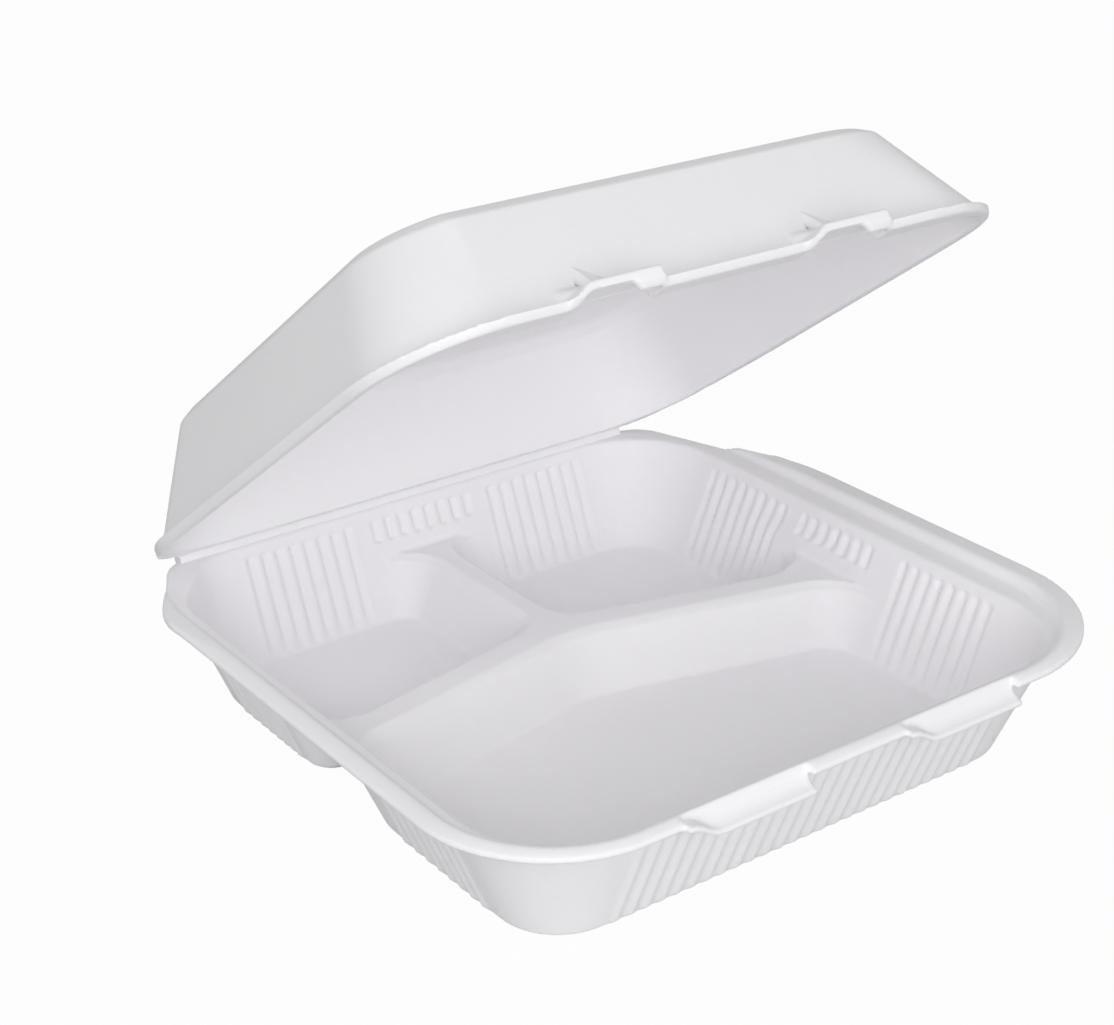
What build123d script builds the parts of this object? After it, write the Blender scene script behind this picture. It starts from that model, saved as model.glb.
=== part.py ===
from build123d import *
import math
import os

os.makedirs("parts", exist_ok=True)

# Foam sheet and the lean of the tub walls
sheet = 2.4
wall_draft = 22.5

# Flange outline of the tray; x = 0 is the middle of the tub
rim_left = -113.2
rim_right = 121.8
rim_front = -111.8
hinge_y = 111.8
rim_corner_left = 43.0
rim_corner_right = 50.0

# Both flanges draw in towards the hinge
taper_left_y = 75.0
taper_right_y = 42.0
taper_radius = 50.0
hinge_half = 99.0
hinge_corner = 13.0

# Levels of the tray
ledge_z = 38.4
crest_z = 41.2
edge_z = 40.0
ridge_z = 22.5
edge_thick = 2.0

# Rim section: where the crest runs, the riser down to the ledge, and where the crest fades out
crest_left = 3.6
crest_right = 7.2
crest_front = 2.6
crest_width = 1.6
riser_draft = 37.0
fade_y = 40.0

# Tub outline at the ledge and the bevel round the underside of each well
tub_half = 102.5
tub_front = -103.5
tub_back = 107.5
tub_corner = 32.0
foot_bevel = 2.4

# Divider: a shallow chevron across the tub and an arm to the back wall
ridge_width = 9.5
chevron_y = 23.3
chevron_slope = 0.245
face_corner = 20.0
ridge_corner = 15.0
fork_corner = 12.0
bend_radius = 40.0
bevel_out = 1.6
bevel_draft = 50.0

# Flutes in the walls: grooves inside, ribs outside
flute_pitch = 5.3
flute_depth = 1.0
flute_half = 1.9
flute_root = 0.3
flute_top = 35.0
short_foot = 27.5
long_foot = 3.0
rib_foot = 0.5
rib_toe = 2.2
short_flutes = 4
gap_flutes = 1
long_flutes = 8
side_flutes_y = 4.0
side_short = 3
side_gap_front = 2
side_front = 8
side_gap_back = 1
side_back = 8

# Front locks: a dished drop in the tray's flange, a raised step with a tab in the lid's flange
lock_starts = [-59.0, 19.5]
lock_bend = 12.0
lock_length = 44.0
lock_drop = 4.4
lock_reach = 2.2
lock_lip = 1.4
dish_sag = 0.8
lid_lock_inset = 8.0
lid_lock_bend = 9.0
lid_lock_length = 30.0
lid_lock_rise = 3.2
lid_lock_reach = 0.5
tab_long = 10.0
tab_drop = 2.6
blister_high = 12.5
blister_out = 5.5
blister_long = 20.0
blister_run = 4.0

# Lid, drawn closed, then turned open about the hinge
lid_gap = 0.3
lid_left = -112.5
lid_right = 117.0
lid_front = -106.0
lid_back = 107.0
lid_corner_left = 41.0
lid_corner_right = 50.0
lid_hinge_half = 100.0
lid_foot_left = -103.6
lid_foot_right = 108.5
lid_foot_front = -98.5
lid_foot_back = 105.5
lid_draft = 25.0
lid_back_draft = 14.0
lid_top_z = 78.4
lid_wall_corner = 30.0
lid_bevel = 4.0
lid_bevel_soft = 1.5
lid_open = 35.7

# Hinge: a bead on the tray's edge, the lid's edge curved round it, pressed thin strips beside it
bead_radius = 0.6
bead_clear = 0.15
bead_half = 90.0
strip_thick = 1.2
strip_run = 2.4

# Worked out from the sizes above
lean = math.tan(math.radians(wall_draft))
skin = sheet / math.cos(math.radians(wall_draft))
lid_z = crest_z + lid_gap
over = 1.0


def ring(corners):
    """Flat outline from (x, y, corner radius) points."""
    flat = make_face(Polyline(*[(x, y) for x, y, r in corners], close=True))
    for x, y, r in corners:
        flat = fillet(flat.vertices().sort_by_distance((x, y, 0))[0], r)
    return flat


def box_corners(x0, x1, y0, y1, r):
    return [(x0, y0, r), (x1, y0, r), (x1, y1, r), (x0, y1, r)]


def flange_ring(x0, x1, y0, y1, half, left_radius, right_radius):
    """Flange outline: round front corners, sides that draw in towards the hinge."""
    return ring([
        (x0, y0, left_radius), (x1, y0, right_radius), (x1, taper_right_y, taper_radius),
        (half, y1, hinge_corner), (-half, y1, hinge_corner), (x0, taper_left_y, taper_radius)])


def sunk(corners, top, depth, draft, by=0.0, bevel=0.0):
    """Tapered body going down from an outline, grown by some width and bevelled at its foot."""
    flat = ring([(x, -y, r) for x, y, r in reversed(corners)])
    flat = offset(flat, by) if by else flat
    body = Pos(0, 0, top) * Rot(180, 0, 0) * extrude(flat, depth, taper=draft)
    return chamfer(body.faces().sort_by(Axis.Z)[0].edges(), bevel) if bevel else body


def raised(flat, low, high):
    return Pos(0, 0, low) * extrude(flat, high - low)


def between(low_flat, low, high_flat, high):
    return loft([Pos(0, 0, low) * low_flat, Pos(0, 0, high) * high_flat], ruled=True)


def across(edges, y0, y1):
    """Body from an outline in x and z, between two depths."""
    return Pos(0, y1, 0) * extrude(Plane.XZ * make_face(edges), y1 - y0)


def along(edges, x0, x1):
    """Body from an outline in y and z, between two stations along the width."""
    flat = Plane.YZ * make_face(edges)
    return Pos(x0, 0, 0) * extrude(flat, x1 - x0, dir=(1, 0, 0))


def closed(*points):
    return Polyline(*points, close=True)


def step_line(start, run, length, z0, z1):
    """Level along a lock: a soft bend from one height to another, then straight to its end."""
    soft = Spline((start, z0), (start + run, z1), tangents=((1, 0), (1, 0)))
    return soft + Line((start + run, z1), (start + length, z1))


# Outlines of the tub and the three wells at the ridge tops
drop = (ledge_z - ridge_z) * lean
half, front, back = tub_half - drop, tub_front + drop, tub_back - drop
corner = tub_corner - drop
run = ridge_width / 2 * math.hypot(1, chevron_slope)
fore, aft, arm = chevron_y - run, chevron_y + run, ridge_width / 2
tub = box_corners(-tub_half, tub_half, tub_front, tub_back, tub_corner)
front_well = [
    (-half, front, corner), (half, front, corner), (half, fore - chevron_slope * half, face_corner),
    (0, fore, bend_radius), (-half, fore - chevron_slope * half, face_corner)]
right_well = [
    (arm, aft - chevron_slope * arm, fork_corner), (half, aft - chevron_slope * half, ridge_corner),
    (half, back, corner), (arm, back, ridge_corner)]
left_well = [(-x, y, r) for x, y, r in reversed(right_well)]
wells = [front_well, right_well, left_well]

# Hollow of the tray: basin, wells, and the soft shoulders of the divider
whole = sunk(tub, ledge_z, ledge_z - sheet, wall_draft)
hollow = sunk(tub, ledge_z, ledge_z - ridge_z, wall_draft)
bevel_deep = bevel_out / (math.tan(math.radians(bevel_draft)) - lean)
for well in wells:
    hollow += sunk(well, ridge_z, ridge_z - sheet, wall_draft)
    hollow += sunk(well, ridge_z, bevel_deep, bevel_draft, by=bevel_out) & whole

# Outside of the tub
body = sunk(tub, ledge_z, ledge_z - ridge_z + sheet, wall_draft, by=skin)
for well in wells:
    body += sunk(well, ridge_z, ridge_z, wall_draft, by=skin, bevel=foot_bevel)


# Flutes, drawn on a wall that faces back: a V that runs down the slope
def on_wall(reach, z, stand):
    return (reach + stand - (ledge_z - z) * lean, z)


def flute(reach, foot):
    y, z = on_wall(reach, flute_top, 0)
    root = flute_half * (1 + flute_root / flute_depth)
    vee = make_face(closed((-root, y - flute_root), (root, y - flute_root), (0, y + flute_depth)))
    slope = Vector(0, -lean, -1)
    return extrude(Pos(0, 0, z) * vee, (z - foot) * slope.length, dir=slope.normalized())


def toe_cut(reach):
    """What lies outside the ribs' slanted feet."""
    high = on_wall(reach, rib_foot + rib_toe, flute_depth)
    low = on_wall(reach, rib_foot, flute_depth - rib_toe)
    away = high[0] + sheet
    return along(closed(high, (away, high[1]), (away, low[1] - over), (low[0] - over, low[1] - over), low),
                 -tub_half, tub_half)


def spots(first, count, middle=0.0):
    return [middle + flute_pitch * (first + k) for k in range(count)]


def mirrored(places):
    return places + [-x for x in places]


# Places of the short and long flutes on each wall, with the wall's reach and its turn
long_first = short_flutes + gap_flutes + 0.5
back_short = mirrored(spots(0.5, short_flutes))
back_long = mirrored(spots(long_first, long_flutes))
front_long = mirrored(spots(0.5, short_flutes + gap_flutes + long_flutes))
side_short_y = spots(-side_short, 2 * side_short + 1, side_flutes_y)
side_long_y = spots(-side_short - side_gap_front - side_front, side_front, side_flutes_y)
side_long_y += spots(side_short + side_gap_back + 1, side_back, side_flutes_y)
walls = [
    (tub_back, 0, back_short, back_long), (-tub_front, 180, [], front_long),
    (tub_half, 90, side_short_y, side_long_y),
    (tub_half, -90, [-y for y in side_short_y], [-y for y in side_long_y])]
grooves, ribs = [], []
for reach, turn, short_places, long_places in walls:
    long_rib = flute(reach + skin, rib_foot) - toe_cut(reach + skin)
    for places, groove, rib in [
            (short_places, flute(reach, short_foot), flute(reach + skin, short_foot)),
            (long_places, flute(reach, long_foot), long_rib)]:
        grooves += [Rot(0, 0, turn) * Pos(x, 0, 0) * groove for x in places]
        ribs += [Rot(0, 0, turn) * Pos(x, 0, 0) * rib for x in places]
hollow = hollow.fuse(*grooves)
body = body.fuse(*ribs)

# Rim: outer flange rising to a crest, riser down to the ledge
rim = flange_ring(rim_left, rim_right, rim_front, hinge_y, hinge_half, rim_corner_left, rim_corner_right)
past = hinge_y + tub_corner
outer = box_corners(rim_left, rim_right, rim_front, past, rim_corner_left)
outer[1] = (rim_right, rim_front, rim_corner_right)
crest = [(x + dx, y + dy, r - crest_left) for (x, y, r), (dx, dy) in zip(outer, [
    (crest_left, crest_front), (-crest_right, crest_front), (-crest_right, 0), (crest_left, 0)])]
inside = [(x + dx, y + dy, r - crest_width) for (x, y, r), (dx, dy) in zip(crest, [
    (crest_width, crest_width), (-crest_width, crest_width), (-crest_width, 0), (crest_width, 0)])]
roof = between(ring(outer), edge_z, ring(crest), crest_z) & raised(rim, edge_z, crest_z)
under = between(ring(outer), edge_z - edge_thick, ring(crest), crest_z - sheet)
shelf = sunk(inside, crest_z, crest_z - ledge_z + sheet, riser_draft, by=sheet)
flange = raised(rim, edge_z - edge_thick, edge_z) + roof - under
flange += shelf & (raised(rim, ledge_z - sheet, edge_z) + roof)
riser_grow = over * math.tan(math.radians(riser_draft))
ledge_cut = sunk(inside, crest_z + over, crest_z + over - ledge_z, riser_draft, by=riser_grow)

# Towards the hinge the whole flange slopes down to the ledge and the crest fades out
fade_slope = (crest_z - ledge_z) / (hinge_y - fade_y)
fade_end = ledge_z - fade_slope * over
back_plate = along(closed(
    (fade_y, crest_z - sheet), (hinge_y, ledge_z - sheet), (hinge_y, ledge_z), (fade_y, crest_z)),
    rim_left, rim_right)
fade = along(closed(
    (fade_y, crest_z), (hinge_y + over, fade_end), (hinge_y + over, crest_z + over),
    (fade_y, crest_z + over)), rim_left - over, rim_right + over)
flange += back_plate & (raised(rim, ledge_z - sheet, edge_z) + roof)
flange -= fade

# Locks in the tray's front flange
crest_y = rim_front + crest_front
lip_y = rim_front - lock_reach
low_z = edge_z - lock_drop
dish_top = (crest_y + crest_width / 2, crest_z)
dish_foot = (lip_y + lock_lip, low_z)
dish_mid = ((dish_top[0] + dish_foot[0]) / 2 + dish_sag, (dish_top[1] + dish_foot[1]) / 2 - dish_sag)
dish_edges = ThreePointArc(dish_top, dish_mid, dish_foot) + Polyline(
    dish_foot, (lip_y - over, low_z), (lip_y - over, crest_z + over),
    (dish_top[0], crest_z + over), dish_top)
for start in lock_starts:
    end = start + lock_length
    base = step_line(start, lock_bend, lock_length, edge_z - edge_thick, low_z - edge_thick)
    block = across(base + Polyline(
        (end, low_z - edge_thick), (end, crest_z), (start, crest_z), (start, edge_z - edge_thick)),
        lip_y, tub_front)
    top = step_line(start, lock_bend, lock_length, edge_z, low_z)
    air = across(top + Polyline(
        (end, low_z), (end, crest_z + over), (start, crest_z + over), (start, edge_z)),
        lip_y - over, tub_front)
    flange = flange + block - (air & along(dish_edges, start, end))

# Hinge edge of the tray
axle = Pos(0, hinge_y, ledge_z) * Rot(0, 90, 0)
thin = closed((hinge_y - strip_run, ledge_z - strip_thick), (hinge_y + over, ledge_z - strip_thick),
              (hinge_y + over, ledge_z - sheet - over), (hinge_y - strip_run, ledge_z - sheet - over))
flange -= along(thin, rim_left, rim_right)
tray = body + flange - hollow - ledge_cut + axle * Cylinder(bead_radius, 2 * bead_half)
export_step(tray, "parts/base_tray.step")


# Lid, closed: a shell with leaning walls on a flat flange
def dome(inset, low, high, corner_radius):
    def lean_in(z, draft):
        return inset + (z - lid_z) * math.tan(math.radians(draft))

    at_low, at_high = lean_in(low, lid_draft), lean_in(high, lid_draft)
    shape = along(closed(
        (lid_foot_front + at_low, low), (lid_foot_back - lean_in(low, lid_back_draft), low),
        (lid_foot_back - lean_in(high, lid_back_draft), high), (lid_foot_front + at_high, high)),
        lid_left, lid_right)
    shape &= across(closed(
        (lid_foot_left + at_low, low), (lid_foot_right - at_low, low),
        (lid_foot_right - at_high, high), (lid_foot_left + at_high, high)), lid_front, hinge_y)
    levels = shape.edges().filter_by(Plane.XY)
    shape = fillet([e for e in shape.edges() if e not in levels], corner_radius)
    for bevel in (lid_bevel, lid_bevel_soft):
        shape = chamfer(shape.faces().sort_by(Axis.Z)[-1].edges(), bevel)
    return shape


plate = flange_ring(
    lid_left, lid_right, lid_front, lid_back, lid_hinge_half, lid_corner_left, lid_corner_right)
lid = raised(plate, lid_z, lid_z + sheet)
lid += dome(0, lid_z, lid_top_z, lid_wall_corner)
lid_skin = sheet / math.cos(math.radians(lid_draft))
lid_hollow = dome(lid_skin, lid_z - over, lid_top_z - sheet, lid_wall_corner - sheet)

# Strip from the lid's flange down to the hinge
strip_z = ledge_z + lid_gap
strip_y = hinge_y - strip_run
lid += along(closed(
    (lid_foot_back, lid_z), (lid_back, lid_z), (strip_y, strip_z), (hinge_y, strip_z),
    (hinge_y, strip_z + strip_thick), (strip_y, strip_z + strip_thick),
    (lid_back, lid_z + sheet), (lid_foot_back, lid_z + sheet)), -bead_half, bead_half)
lid -= axle * Cylinder(bead_radius + bead_clear, 2 * lid_hinge_half)

# Locks in the lid: the flange steps up and ends in a tab, with a blister in the wall above
wall_slope = math.tan(math.radians(lid_draft))
lip = lid_front - lid_lock_reach
up = lid_z + lid_lock_rise
for lock_start in lock_starts:
    start = lock_start + lid_lock_inset
    mid, end = start + lid_lock_bend, start + lid_lock_length
    base = step_line(start, lid_lock_bend, lid_lock_length, lid_z, up)
    top = step_line(start, lid_lock_bend, lid_lock_length, lid_z + sheet, up + sheet)
    air = across(base + Polyline(
        (end, up), (end, lid_z - over), (start, lid_z - over), (start, lid_z)),
        lip - over, lid_foot_front + lid_skin + over)
    step = across(top + base + Line((end, up), (end, up + sheet)) + Line(
        (start, lid_z), (start, lid_z + sheet)), lip, lid_foot_front + lid_skin)
    tab = across(closed(
        (end - tab_long, up), (end - tab_long + tab_drop, up - tab_drop), (end, up - tab_drop),
        (end, up)), lip, lip + sheet)
    low, high = up, lid_z + blister_high
    y_low = lid_foot_front + wall_slope * (low - lid_z)
    y_high = lid_foot_front + wall_slope * (high - lid_z)
    foot = make_face(closed(
        (start, y_low + sheet), (mid - over, y_low - blister_out),
        (start + blister_long, y_low - blister_out), (start + blister_long + blister_run, y_low + sheet)))
    tip = make_face(closed(
        (start + over, y_high + sheet), (start + 2 * over, y_high), (mid + blister_run, y_high),
        (mid + blister_run + over, y_high + sheet)))
    lid = lid - air + step + tab + between(foot, low, tip, high)
lid -= lid_hollow
lid = lid.rotate(Axis((0, hinge_y, ledge_z), (1, 0, 0)), -lid_open)
export_step(lid, "parts/lid.step")
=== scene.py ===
# %% [markdown]
# # A foam clamshell container, dressed for the studio
#
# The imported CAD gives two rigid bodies, the tray with its three wells and the lid, joined by a hinge
# line. The real thing is pressed from one warm sheet of white foam, so nothing on it is sharp: every
# edge has the radius that a 2.4 mm sheet takes in a mould. This scene softens the solids, closes the
# fold between the two bodies, gives the foam its skin and sets it on a white sweep in soft studio
# light.

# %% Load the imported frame
import math

import bmesh
import bpy
import numpy as np
from mathutils import Matrix, Vector


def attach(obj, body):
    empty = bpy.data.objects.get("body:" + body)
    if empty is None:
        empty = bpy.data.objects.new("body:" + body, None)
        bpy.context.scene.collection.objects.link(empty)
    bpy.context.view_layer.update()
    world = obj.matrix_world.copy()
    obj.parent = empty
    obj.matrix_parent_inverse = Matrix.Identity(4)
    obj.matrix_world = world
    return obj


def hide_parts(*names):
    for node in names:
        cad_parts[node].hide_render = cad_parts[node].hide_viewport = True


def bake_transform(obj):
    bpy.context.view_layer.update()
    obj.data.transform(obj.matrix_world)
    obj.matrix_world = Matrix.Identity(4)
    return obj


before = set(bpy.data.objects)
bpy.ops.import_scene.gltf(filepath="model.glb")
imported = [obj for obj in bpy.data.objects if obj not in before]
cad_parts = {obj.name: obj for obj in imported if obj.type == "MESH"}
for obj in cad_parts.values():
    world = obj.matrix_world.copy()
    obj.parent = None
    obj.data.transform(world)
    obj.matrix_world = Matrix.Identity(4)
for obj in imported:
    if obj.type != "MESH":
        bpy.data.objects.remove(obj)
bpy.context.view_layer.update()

# %% [markdown]
# ## Soft foam from the solids
#
# A thermoformed sheet comes out of the mould with rounded edges inside and out. The CAD meshes are
# loose triangles with sharp corners, so a copy of each is merged first, then rebuilt as an even net of
# small cells and relaxed a little. The relaxing rounds the edges over about one millimetre, keeps the
# flat panels flat and leaves the flutes as real waves in the surface.

# %% Make a softened copy of a CAD node
def merged_copy(node, name):
    shape = bmesh.new()
    shape.from_mesh(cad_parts[node].data)
    bmesh.ops.remove_doubles(shape, verts=shape.verts, dist=1e-6)
    mesh = bpy.data.meshes.new(name)
    shape.to_mesh(mesh)
    shape.free()
    piece = bpy.data.objects.new(name, mesh)
    bpy.context.scene.collection.objects.link(piece)
    return piece


def settle(piece):
    """Keeps what the piece's modifiers make, as its own mesh."""
    graph = bpy.context.evaluated_depsgraph_get()
    mesh = bpy.data.meshes.new_from_object(piece.evaluated_get(graph))
    piece.modifiers.clear()
    rough = piece.data
    piece.data = mesh
    bpy.data.meshes.remove(rough)
    mesh.name = piece.name


def relax(piece, rounds):
    smooth = piece.modifiers.new("relax", "SMOOTH")
    smooth.factor = 0.5
    smooth.iterations = rounds


cell_size = 0.0007
first_rounds = 2
tray = merged_copy("base_tray", "foam_tray")
lid = merged_copy("lid", "foam_lid")
for piece in (tray, lid):
    net = piece.modifiers.new("net", "REMESH")
    net.mode = "VOXEL"
    net.voxel_size = cell_size
    relax(piece, first_rounds)
    settle(piece)
    print(piece.name, "net of", len(piece.data.polygons), "faces")

# %% [markdown]
# ## Fitting the pressed forms to the photograph
#
# Laid over the photograph, the solids are a few millimetres out in places. On the real container the
# flutes inside stand out more, the divider is broader behind and turns less on its left half, the lid's
# flange nests on the ledge inside the tray's rim, and its lock steps sit nearer the left. These are
# moves of less than 9 mm, so the net is pulled into place with smooth fields, worked out in
# millimetres.

# %% Helpers for smooth moves
def ease(low, high, value):
    """From 0 at low to 1 at high, with soft ends."""
    t = np.clip((value - low) / (high - low), 0, 1)
    return t * t * (3 - 2 * t)


def points_mm(piece):
    flat = np.empty(len(piece.data.vertices) * 3)
    piece.data.vertices.foreach_get("co", flat)
    return flat.reshape(-1, 3) * 1000


def put_back(piece, points):
    piece.data.vertices.foreach_set("co", (points / 1000).ravel())
    piece.data.update()


# %% Tray: flutes, divider and the corner beside the hinge
flute_rounds, flute_gain = 25, 2.0
wall_half_x, wall_mid_y, wall_half_y = 93, 3, 98
divider_face, divider_slope, divider_ridge, divider_top = 18.4, 0.245, 9.8, (23.5, 31)
back_shift, left_turn, corner_shift = 3.45, 0.045, 5


def smoothed_points(piece, rounds):
    relax(piece, rounds)
    soft = piece.evaluated_get(bpy.context.evaluated_depsgraph_get()).data
    flat = np.empty(len(soft.vertices) * 3)
    soft.vertices.foreach_get("co", flat)
    piece.modifiers.clear()
    return flat.reshape(-1, 3) * 1000


def sharpen_flutes(piece, rounds, gain):
    """Moves the inside of the side walls away from its own smoothed form."""
    points = points_mm(piece)
    normals = np.empty(points.size)
    piece.data.vertices.foreach_get("normal", normals)
    x, y, z = points.T
    inward = -(normals.reshape(-1, 3)[:, :2] * points[:, :2]).sum(1) > 0
    near_wall = ease(0.74, 0.8, np.maximum(np.abs(x) / wall_half_x, np.abs(y - wall_mid_y) / wall_half_y))
    share = gain * inward * near_wall * ease(6, 9, z) * (1 - ease(33, 35, z))
    return points + share[:, None] * (points - smoothed_points(piece, rounds))


def fit_tray(points):
    x, y, z = points.T.copy()
    face_move = left_turn * np.clip(-x, 0, None)
    back_move = back_shift + face_move
    from_face = y - (divider_face - divider_slope * np.abs(x))
    move = np.where(from_face < 0, face_move * ease(-45, 0, from_face), 0)
    inside = np.clip(from_face / divider_ridge, 0, 1)
    over = face_move + (back_move - face_move) * inside
    move = np.where(from_face >= 0, over * (1 - ease(divider_ridge, 60, from_face)), move)
    y = y + move * (1 - ease(*divider_top, z))
    x = x + corner_shift * ease(72, 108, y) * ease(82, 97, -x)
    return np.stack([x, y, z], 1)


put_back(tray, sharpen_flutes(tray, flute_rounds, flute_gain))
before = points_mm(tray)
after = fit_tray(before)
put_back(tray, after)
print("tray moved by up to", round(float(np.linalg.norm(after - before, axis=1).max()), 2), "mm")

# %% [markdown]
# The lid is worked on closed, where its flange is level, and then turned back to the photograph's
# angle. Points of the flange are known by how far they lie beyond the foot of the walls, a rounded
# rectangle, and that overhang is scaled by side. The wall fields fade out from the flange to the top,
# and the hinge edge stays where it is.

# %% Lid: flange, walls and locks
lid_open = math.radians(35.7)
hinge_y, hinge_z = 111.8, 38.4
foot_mid, foot_half, foot_round = np.array([2.45, 3.5]), np.array([106.05, 102.0]), 30.0
lid_low, lid_high, lid_drop = 41.5, 78.4, 2.8
lock_starts, lock_shift = (-58.0, 20.5), 7
wall_foot, wall_lean = -99.8, math.radians(25)
keep_left, keep_right, keep_front, edge_lean = 0.27, 0.53, 0.97, 1.7
foot_out_left, foot_in_right, foot_out_front, foot_out_back, top_out_right = 1.3, 0.5, 1.3, 0.7, 2.25


def turn_lid(points, angle):
    y, z = points[:, 1] - hinge_y, points[:, 2] - hinge_z
    c, s = math.cos(angle), math.sin(angle)
    return np.stack([points[:, 0], hinge_y + c * y - s * z, hinge_z + s * y + c * z], 1)


def front_wall(z):
    """Where the outside of the lid's front wall stands, closed."""
    return wall_foot + (z - (lid_low - lid_drop)) * math.tan(wall_lean)


def fit_lid(points):
    x, y, z = points.T.copy()
    x = x - lock_shift * ease(-75, -55, x) * (1 - ease(62, 82, x)) * (1 - ease(-85, -60, y))
    up = np.clip((z - lid_low) / (lid_high - lid_low), 0, 1)
    # Overhang of the flange beyond the foot of the walls
    offset = np.stack([x, y], 1) - foot_mid
    corner = np.abs(offset) - (foot_half - foot_round)
    reach = np.linalg.norm(np.clip(corner, 0, None), axis=1)
    facing = np.sign(offset) * np.clip(corner, 0, None) / np.clip(reach, 1e-9, None)[:, None]
    overhang = np.clip(reach - foot_round, 0, None) * (z < lid_low + 6.5)
    keep = np.where(facing[:, 0] < 0, keep_left, keep_right) * facing[:, 0] ** 2
    keep += np.where(facing[:, 1] < 0, keep_front, 1.0) * facing[:, 1] ** 2
    lean = edge_lean * (1 - np.clip((z - lid_low) / 2.4, 0, 1))
    lean = lean * np.clip(overhang / 7.5, 0, 1) * (facing[:, 1] < 0.7)
    pull = (overhang * (keep - 1) - lean)[:, None] * facing
    x, y = x + pull[:, 0], y + pull[:, 1]
    # Walls: each side has its own move at the foot, and the right one leans out at the top as well
    across, along = np.clip((x + 95) / 190, 0, 1), np.clip((y + 90) / 190, 0, 1)
    right_out = top_out_right * up - foot_in_right * (1 - up)
    x = x + (1 - across) * -foot_out_left * (1 - up) + across * right_out
    y = y + ((1 - along) * -foot_out_front + along * foot_out_back) * (1 - up) * (1 - ease(106, 109.4, y))
    z = z - lid_drop * (1 - up) * (1 - ease(107, 109.4, y))
    # The solid's plain bosses go back into the wall
    wall = front_wall(z)
    for start in lock_starts:
        near = ease(start - 8, start - 1, x) * (1 - ease(start + 29, start + 35, x))
        near = near * ease(44.4, 47, z) * (1 - ease(60, 64, z)) * (y < wall)
        y = y + (wall - y) * near
    return np.stack([x, y, z], 1)


before = points_mm(lid)
closed = fit_lid(turn_lid(before, lid_open))
after = turn_lid(closed, -lid_open)
put_back(lid, after)
print("lid moved by up to", round(float(np.linalg.norm(after - before, axis=1).max()), 2), "mm")

# %% [markdown]
# A last light relaxing takes up the small unevenness that the moves leave. Collapsing short edges then
# brings each piece under the number of triangles that a library part can carry.

# %% Relax the net and make it lighter
last_rounds = 1
most_triangles = 190000
for piece in (tray, lid):
    relax(piece, last_rounds)
    light = piece.modifiers.new("light", "DECIMATE")
    light.ratio = min(1.0, most_triangles / (2 * len(piece.data.polygons)))
    settle(piece)
    piece.data.polygons.foreach_set("use_smooth", [True] * len(piece.data.polygons))
    print(piece.name, "kept", len(piece.data.polygons), "faces")

# %% [markdown]
# ## Foam skin
#
# Pressed foam is a mass of closed cells under a thin, slightly satin skin. Up close the cells show as a
# fine grain that sparkles where the light grazes it, and the colour drifts very slightly from white to
# violet-grey. One node group holds the grain and the drift, and each part's material sets its own
# colour and gloss.

# %% Foam grain as a node group
def group_input(group, name, kind, value):
    socket = group.interface.new_socket(name, in_out="INPUT", socket_type=kind)
    socket.default_value = value
    return socket


def foam_group():
    group = bpy.data.node_groups.new("foam_grain", "ShaderNodeTree")
    group_input(group, "Light", "NodeSocketColor", (1, 1, 1, 1))
    group_input(group, "Dark", "NodeSocketColor", (1, 1, 1, 1))
    group.interface.new_socket("Color", in_out="OUTPUT", socket_type="NodeSocketColor")
    for name in ("Roughness", "Height"):
        group.interface.new_socket(name, in_out="OUTPUT", socket_type="NodeSocketFloat")
    nodes, links = group.nodes, group.links
    given, out = nodes.new("NodeGroupInput"), nodes.new("NodeGroupOutput")
    place = nodes.new("ShaderNodeTexCoord")
    cells = nodes.new("ShaderNodeTexVoronoi")
    cells.feature = "F1"
    cells.inputs["Scale"].default_value = 1100
    grain = nodes.new("ShaderNodeTexNoise")
    grain.inputs["Scale"].default_value = 1600
    grain.inputs["Detail"].default_value = 2
    drift = nodes.new("ShaderNodeTexNoise")
    drift.inputs["Scale"].default_value = 22
    drift.inputs["Detail"].default_value = 3
    for texture in (cells, grain, drift):
        links.new(place.outputs["Object"], texture.inputs["Vector"])
    both = nodes.new("ShaderNodeMath")
    both.operation = "MULTIPLY_ADD"
    both.inputs[1].default_value = 0.7
    links.new(cells.outputs["Distance"], both.inputs[0])
    links.new(grain.outputs["Fac"], both.inputs[2])
    links.new(both.outputs[0], out.inputs["Height"])
    share = nodes.new("ShaderNodeMapRange")
    share.inputs["From Min"].default_value = 0.3
    share.inputs["From Max"].default_value = 0.7
    links.new(drift.outputs["Fac"], share.inputs["Value"])
    tone = nodes.new("ShaderNodeMix")
    tone.data_type = "RGBA"
    links.new(share.outputs["Result"], tone.inputs["Factor"])
    links.new(given.outputs["Light"], tone.inputs["A"])
    links.new(given.outputs["Dark"], tone.inputs["B"])
    links.new(tone.outputs["Result"], out.inputs["Color"])
    gloss = nodes.new("ShaderNodeMapRange")
    gloss.inputs["To Min"].default_value = 0.42
    gloss.inputs["To Max"].default_value = 0.62
    links.new(grain.outputs["Fac"], gloss.inputs["Value"])
    links.new(gloss.outputs["Result"], out.inputs["Roughness"])
    return group


foam = foam_group()


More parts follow.
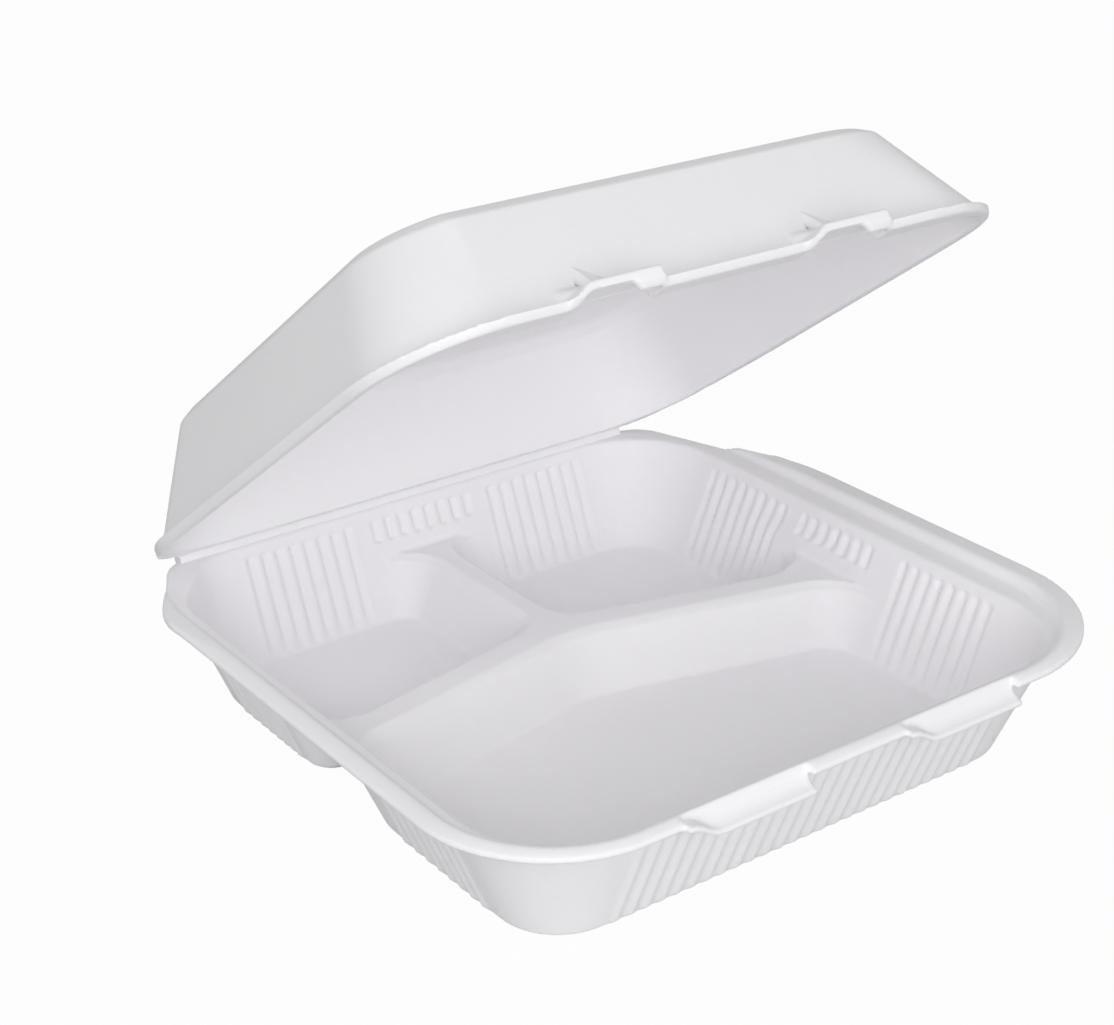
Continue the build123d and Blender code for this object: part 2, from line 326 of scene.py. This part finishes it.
# %% One material for each part
def foam_material(name, light, dark, bump_mm):
    material = bpy.data.materials.new(name)
    material.use_nodes = True
    nodes, links = material.node_tree.nodes, material.node_tree.links
    skin = nodes["Principled BSDF"]
    skin.inputs["IOR"].default_value = 1.45
    skin.inputs["Specular IOR Level"].default_value = 0.4
    skin.inputs["Sheen Weight"].default_value = 0.05
    grain = nodes.new("ShaderNodeGroup")
    grain.node_tree = foam
    grain.inputs["Light"].default_value = (*light, 1)
    grain.inputs["Dark"].default_value = (*dark, 1)
    bump = nodes.new("ShaderNodeBump")
    bump.inputs["Strength"].default_value = 1.0
    bump.inputs["Distance"].default_value = bump_mm / 1000
    links.new(grain.outputs["Height"], bump.inputs["Height"])
    links.new(grain.outputs["Color"], skin.inputs["Base Color"])
    links.new(grain.outputs["Roughness"], skin.inputs["Roughness"])
    links.new(bump.outputs["Normal"], skin.inputs["Normal"])
    return material


foam_white = (0.972, 0.962, 0.981)
foam_shade = (0.955, 0.945, 0.966)
grain_mm = 0.05
skins = {slot: foam_material(slot, foam_white, foam_shade, grain_mm) for slot in ("foam_tray", "foam_lid")}
for piece, body, node, slot in (
        (tray, "tray", "base_tray", "foam_tray"), (lid, "lid", "lid", "foam_lid")):
    piece.data.materials.clear()
    piece.data.materials.append(skins[slot])
    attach(piece, body)
    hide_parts(node)

# %% [markdown]
# ## Fins over the locks
#
# Where each lock step rises, the sheet is pinched into a thin fin that runs up the lid's front wall. A
# fin is a four-cornered wedge with its foot sunk in the flange and its tip on the wall. Its edges are
# bevelled, so that it stays crisp beside the softened sheet.

# %% Fins over the lid's locks
def new_piece(name, shape, material):
    bmesh.ops.recalc_face_normals(shape, faces=shape.faces)
    mesh = bpy.data.meshes.new(name)
    shape.to_mesh(mesh)
    shape.free()
    mesh.materials.append(material)
    piece = bpy.data.objects.new(name, mesh)
    bpy.context.scene.collection.objects.link(piece)
    print(name, "of", len(mesh.polygons), "faces")
    return piece


fin_low, fin_high, fin_out, fin_root = 43.4, 53.0, 6.0, 1.6
fin_bevel = 0.0005
shape = bmesh.new()
for start in lock_starts:
    foot_y = front_wall(fin_low)
    tip_y = front_wall(fin_high)
    corners = np.array([
        (start + 7, foot_y + fin_root, fin_low), (start + 11, foot_y - fin_out, fin_low),
        (start + 26, foot_y + fin_root, fin_low), (start + 12, tip_y, fin_high)])
    verts = [shape.verts.new(p / 1000) for p in turn_lid(corners, -lid_open)]
    for trio in ((0, 1, 2), (0, 1, 3), (1, 2, 3), (0, 2, 3)):
        shape.faces.new([verts[k] for k in trio])
bmesh.ops.bevel(shape, geom=shape.edges, offset=fin_bevel, segments=3, profile=0.5, affect="EDGES")
fins = new_piece("lid_fins", shape, skins["foam_lid"])
fins.data.polygons.foreach_set("use_smooth", [True] * len(fins.data.polygons))
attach(fins, "lid")

# %% [markdown]
# ## The fold
#
# Tray and lid are one sheet, pressed thin along the back and folded. A narrow web follows the outside
# of the hinge line from the underside of the tray's edge round to the top of the lid's edge. Its
# section is an arc about the hinge axis.

# %% Web across the hinge line
web_half, web_tail, web_steps = 89.5, 2.2, 14
arc_from, arc_to = math.radians(-90), math.radians(90) - lid_open
inner_radius, outer_radius = (0.9, 1.15), (1.35, 1.62)


def web_side(radius):
    """Section of one side of the web, in y and z from the hinge axis."""
    arc = []
    for k in range(web_steps + 1):
        share = k / web_steps
        angle, r = arc_from + (arc_to - arc_from) * share, radius[0] + (radius[1] - radius[0]) * share
        arc.append((r * math.cos(angle), r * math.sin(angle)))
    tray_end = (arc[0][0] - web_tail, arc[0][1])
    lid_end = (arc[-1][0] - web_tail * math.cos(lid_open), arc[-1][1] + web_tail * math.sin(lid_open))
    return [tray_end, *arc, lid_end]


def sweep_section(section):
    shape = bmesh.new()
    left = -web_half / 1000
    loop = [shape.verts.new((left, (hinge_y + y) / 1000, (hinge_z + z) / 1000)) for y, z in section]
    swept = bmesh.ops.extrude_face_region(shape, geom=[shape.faces.new(loop)], use_keep_orig=True)
    moved = [v for v in swept["geom"] if isinstance(v, bmesh.types.BMVert)]
    bmesh.ops.translate(shape, verts=moved, vec=(2 * web_half / 1000, 0, 0))
    return shape


def bend_with_lid(piece):
    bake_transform(piece)


section = web_side(outer_radius) + web_side(inner_radius)[::-1]
fold = new_piece("hinge_fold", sweep_section(section), skins["foam_tray"])
bend_with_lid(fold)

# %% [markdown]
# Inside, the pressed line shows as a rounded crease in the bottom of the fold. It is a slice of a round
# bar about the hinge axis, from the tray's ledge to the lid's edge.

# %% Crease inside the fold
crease_radius, crease_steps = 3.2, 8
crease_from, crease_to = math.radians(184), math.pi - lid_open - math.radians(9)
angles = [crease_from + (crease_to - crease_from) * k / crease_steps for k in range(crease_steps + 1)]
section = [(crease_radius * math.cos(a), crease_radius * math.sin(a)) for a in angles]
crease = new_piece("hinge_crease", sweep_section([(0.3, 0.0), *section]), skins["foam_tray"])
bend_with_lid(crease)

# %% [markdown]
# ## White sweep, soft light, camera
#
# The photograph was taken on white, with soft light from the front and the left and light bounced from
# all sides. The floor is a wide sheet that the camera sees nearly white, and it keeps a faint shadow.
# What the camera sees of floor and world is set apart from the light that they give, so the white
# behind adds none to the foam.

# %% Floor and world
floor_half = 6.0
shape = bmesh.new()
bmesh.ops.create_grid(shape, x_segments=1, y_segments=1, size=floor_half)
floor_mesh = bpy.data.meshes.new("floor")
shape.to_mesh(floor_mesh)
shape.free()
floor = bpy.data.objects.new("floor", floor_mesh)
bpy.context.scene.collection.objects.link(floor)
sweep = bpy.data.materials.new("white_sweep")
sweep.use_nodes = True
nodes, links = sweep.node_tree.nodes, sweep.node_tree.links
nodes["Principled BSDF"].inputs["Base Color"].default_value = (0.6, 0.6, 0.6, 1)
nodes["Principled BSDF"].inputs["Roughness"].default_value = 0.9
nodes["Principled BSDF"].inputs["Specular IOR Level"].default_value = 0.0
glow = nodes.new("ShaderNodeEmission")
path = nodes.new("ShaderNodeLightPath")
seen = nodes.new("ShaderNodeMath")
seen.operation = "MULTIPLY"
seen.inputs[1].default_value = 0.97
blend = nodes.new("ShaderNodeMixShader")
links.new(path.outputs["Is Camera Ray"], seen.inputs[0])
links.new(seen.outputs[0], blend.inputs["Fac"])
links.new(nodes["Principled BSDF"].outputs["BSDF"], blend.inputs[1])
links.new(glow.outputs["Emission"], blend.inputs[2])
links.new(blend.outputs["Shader"], nodes["Material Output"].inputs["Surface"])
floor.data.materials.append(sweep)

world = bpy.data.worlds.new("studio")
bpy.context.scene.world = world
world.use_nodes = True
nodes, links = world.node_tree.nodes, world.node_tree.links
path = nodes.new("ShaderNodeLightPath")
level = nodes.new("ShaderNodeMapRange")
level.inputs["To Min"].default_value = 0.45
level.inputs["To Max"].default_value = 1.0
links.new(path.outputs["Is Camera Ray"], level.inputs["Value"])
links.new(level.outputs["Result"], nodes["Background"].inputs["Strength"])
nodes["Background"].inputs["Color"].default_value = (1, 1, 1, 1)


# %% [markdown]
# A small lamp at the upper left draws the bright band on the lid's corner. A wide one low at the left
# shapes the outside walls, and a wide one in front fills the inside.

# %% Lamps
def soft_lamp(name, place, aim, size, power):
    light = bpy.data.lights.new(name, "AREA")
    light.shape = "SQUARE"
    light.size = size
    light.energy = power
    lamp = bpy.data.objects.new(name, light)
    bpy.context.scene.collection.objects.link(lamp)
    place, aim = Vector(place), Vector(aim)
    turn = (place - aim).to_track_quat("Z", "Y").to_matrix().to_4x4()
    lamp.matrix_world = Matrix.Translation(place) @ turn


middle = (0.0, 0.0, 0.05)
soft_lamp("key", (-1.10, -0.49, 1.20), middle, 0.8, 4)
soft_lamp("side", (-1.16, -1.16, 0.49), middle, 1.2, 6)
soft_lamp("front", (-0.30, -1.6, 0.42), middle, 1.4, 10.5)

# %% [markdown]
# The camera stands where the rim, the hinge line and the lid's edges fall on those of the photograph.
# Its small shift and roll come from the same fit.

# %% Camera
photo_width, photo_height = 1114, 1025
eye_turn, eye_lift, eye_roll = -0.62377, 0.42717, -0.01363
eye_distance = 0.6808
aim = Vector((0.00342, 0.02931, 0.060))
focal_pixels = 2163.42
centre = (557.25, 510.52)
flat = math.cos(eye_lift)
back = Vector((math.sin(eye_turn) * flat, -math.cos(eye_turn) * flat, math.sin(eye_lift)))
level_right = Vector((math.cos(eye_turn), math.sin(eye_turn), 0))
level_up = back.cross(level_right)
c, s = math.cos(eye_roll), math.sin(eye_roll)
right, up = c * level_right + s * level_up, c * level_up - s * level_right
lens = bpy.data.cameras.new("camera")
lens.sensor_fit = "HORIZONTAL"
lens.sensor_width = 36
lens.lens = focal_pixels * lens.sensor_width / photo_width
lens.shift_x = (photo_width / 2 - centre[0]) / photo_width
lens.shift_y = (centre[1] - photo_height / 2) / photo_width
lens.clip_start = 0.01
camera = bpy.data.objects.new("camera", lens)
bpy.context.scene.collection.objects.link(camera)
turn = Matrix((right, up, back)).transposed().to_4x4()
camera.matrix_world = Matrix.Translation(aim + back * eye_distance) @ turn
bpy.context.scene.camera = camera
bpy.context.scene.view_settings.view_transform = "Standard"
print("camera at", [round(x, 4) for x in camera.matrix_world.translation], "lens", round(lens.lens, 2))
